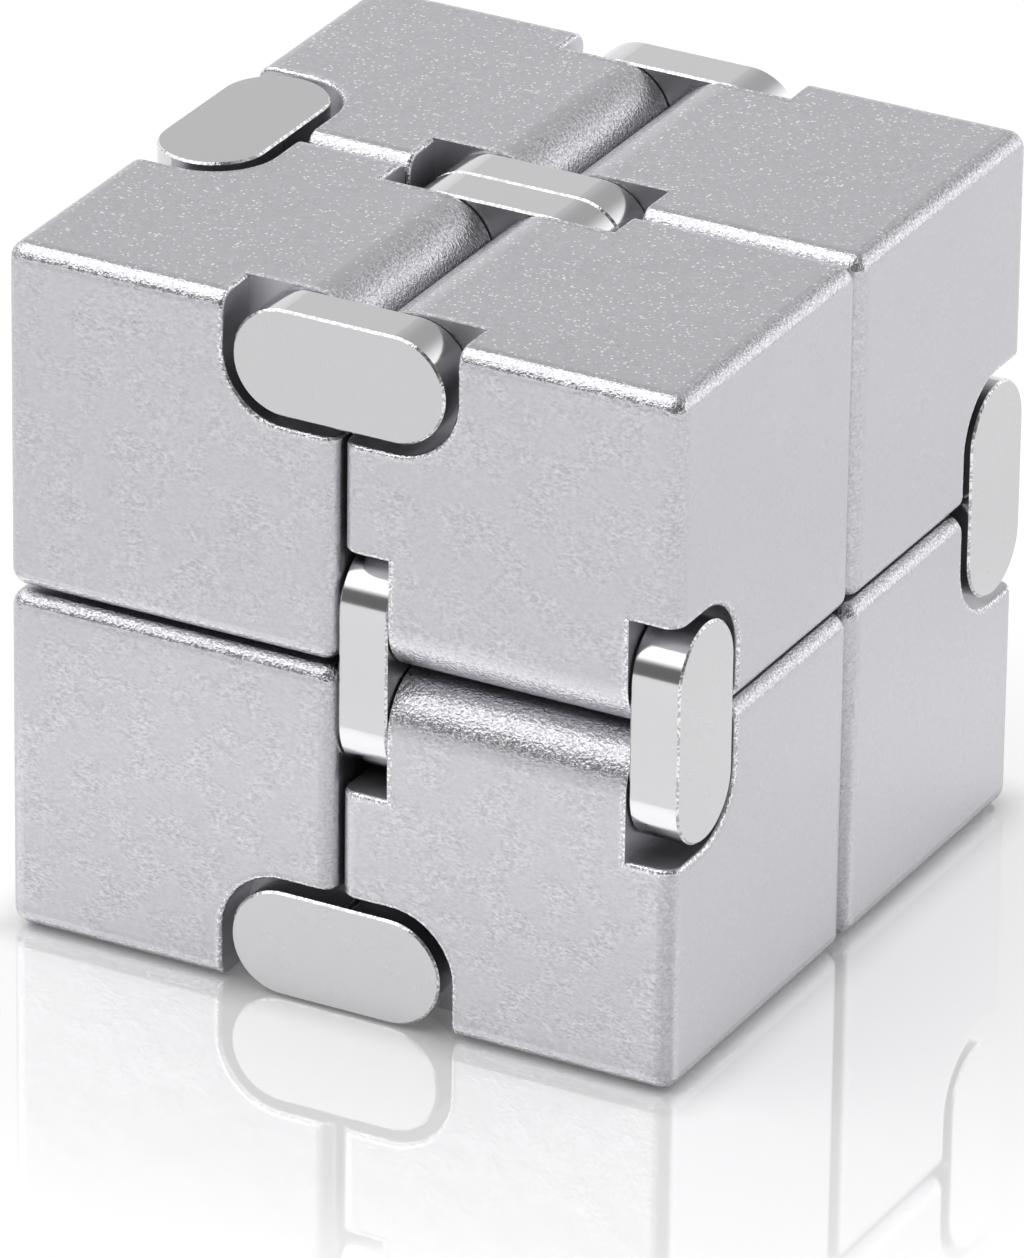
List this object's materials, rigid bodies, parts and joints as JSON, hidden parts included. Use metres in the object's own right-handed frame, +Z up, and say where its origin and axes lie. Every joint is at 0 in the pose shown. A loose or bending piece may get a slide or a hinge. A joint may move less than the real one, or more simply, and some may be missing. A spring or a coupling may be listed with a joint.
{
  "type": "folding fidget cube",
  "caption": "Small metal cube of hinged cubelets joined in a closed ring by round-ended link plates, which folds open and round on itself without end.",
  "frame": {"origin": "bottom centre of the closed cube, on the surface it stands on", "axes": "+X to the right, +Y to the back, +Z up; the front shows the long seams of the top and bottom folds on its left half and the sideways fold on its right half"},
  "size_m": [0.0401, 0.0402, 0.0402],
  "materials": {
    "blasted_aluminium": "fine bead-blasted, clear anodised",
    "polished_link": "polished rim, satin flat faces",
    "pin_steel": "ground steel rod"
  },
  "bodies": {
    "right_front": {"block_upper_right_front": "blasted_aluminium", "block_lower_right_front": "blasted_aluminium", "front_right_link_outer": "polished_link", "front_right_link_inner": "polished_link", "front_right_pin_lower": "pin_steel", "front_right_pin_upper": "pin_steel"},
    "top_front_hinge": {"top_front_link_outer": "polished_link", "top_front_link_inner": "polished_link", "top_front_pin_left": "pin_steel", "top_front_pin_right": "pin_steel"},
    "upper_left_front": {"block_upper_left_front": "blasted_aluminium"},
    "left_top_hinge": {"left_top_link_outer": "polished_link", "left_top_link_inner": "polished_link", "left_top_pin_front": "pin_steel", "left_top_pin_back": "pin_steel"},
    "upper_left_back": {"block_upper_left_back": "blasted_aluminium"},
    "top_back_hinge": {"top_back_link_outer": "polished_link", "top_back_link_inner": "polished_link", "top_back_pin_left": "pin_steel", "top_back_pin_right": "pin_steel"},
    "right_back": {"block_upper_right_back": "blasted_aluminium", "block_lower_right_back": "blasted_aluminium", "back_right_link_outer": "polished_link", "back_right_link_inner": "polished_link", "back_right_pin_lower": "pin_steel", "back_right_pin_upper": "pin_steel"},
    "bottom_front_hinge": {"bottom_front_link_outer": "polished_link", "bottom_front_link_inner": "polished_link", "bottom_front_pin_left": "pin_steel", "bottom_front_pin_right": "pin_steel"},
    "lower_left_front": {"block_lower_left_front": "blasted_aluminium"},
    "left_bottom_hinge": {"left_bottom_link_outer": "polished_link", "left_bottom_link_inner": "polished_link", "left_bottom_pin_front": "pin_steel", "left_bottom_pin_back": "pin_steel"},
    "lower_left_back": {"block_lower_left_back": "blasted_aluminium"},
    "bottom_back_hinge": {"bottom_back_link_outer": "polished_link", "bottom_back_link_inner": "polished_link", "bottom_back_pin_left": "pin_steel", "bottom_back_pin_right": "pin_steel"}
  },
  "joints": [
    {"name": "top_fold_right_pin", "type": "hinge", "parent": "right_front", "child": "top_front_hinge", "pos_m": [0.00323, -0.01006, 0.037], "axis": [0, 1, 0], "range_deg": [0, 90]},
    {"name": "top_fold_left_pin", "type": "hinge", "parent": "top_front_hinge", "child": "upper_left_front", "pos_m": [-0.00323, -0.01006, 0.037], "axis": [0, 1, 0], "range_deg": [0, 90]},
    {"name": "book_front_pin", "type": "hinge", "parent": "upper_left_front", "child": "left_top_hinge", "pos_m": [-0.0169, -0.00323, 0.03016], "axis": [0, 0, -1], "range_deg": [-90, 0]},
    {"name": "book_back_pin", "type": "hinge", "parent": "left_top_hinge", "child": "upper_left_back", "pos_m": [-0.0169, 0.00323, 0.03016], "axis": [0, 0, -1], "range_deg": [-90, 0]},
    {"name": "top_back_left_pin", "type": "hinge", "parent": "upper_left_back", "child": "top_back_hinge", "pos_m": [-0.00323, 0.01006, 0.037], "axis": [0, 1, 0], "range_deg": [-90, 0]},
    {"name": "top_back_right_pin", "type": "hinge", "parent": "top_back_hinge", "child": "right_back", "pos_m": [0.00323, 0.01006, 0.037], "axis": [0, 1, 0], "range_deg": [-90, 0]},
    {"name": "bottom_fold_right_pin", "type": "hinge", "parent": "right_front", "child": "bottom_front_hinge", "pos_m": [0.00323, -0.01006, 0.0032], "axis": [0, -1, 0], "range_deg": [0, 90]},
    {"name": "bottom_fold_left_pin", "type": "hinge", "parent": "bottom_front_hinge", "child": "lower_left_front", "pos_m": [-0.00323, -0.01006, 0.0032], "axis": [0, -1, 0], "range_deg": [0, 90]},
    {"name": "lower_book_front_pin", "type": "hinge", "parent": "lower_left_front", "child": "left_bottom_hinge", "pos_m": [-0.0169, -0.00323, 0.01004], "axis": [0, 0, -1], "range_deg": [-90, 0]},
    {"name": "lower_book_back_pin", "type": "hinge", "parent": "left_bottom_hinge", "child": "lower_left_back", "pos_m": [-0.0169, 0.00323, 0.01004], "axis": [0, 0, -1], "range_deg": [-90, 0]},
    {"name": "bottom_back_left_pin", "type": "hinge", "parent": "lower_left_back", "child": "bottom_back_hinge", "pos_m": [-0.00323, 0.01006, 0.0032], "axis": [0, -1, 0], "range_deg": [-90, 0]}
  ],
  "couplings": [
    {"joint": "top_back_left_pin", "follows": "top_fold_left_pin", "ratio": -1},
    {"joint": "top_back_right_pin", "follows": "top_fold_right_pin", "ratio": -1},
    {"joint": "lower_book_front_pin", "follows": "book_front_pin", "ratio": 1},
    {"joint": "lower_book_back_pin", "follows": "book_back_pin", "ratio": 1},
    {"joint": "bottom_back_left_pin", "follows": "bottom_fold_left_pin", "ratio": -1}
  ]
}
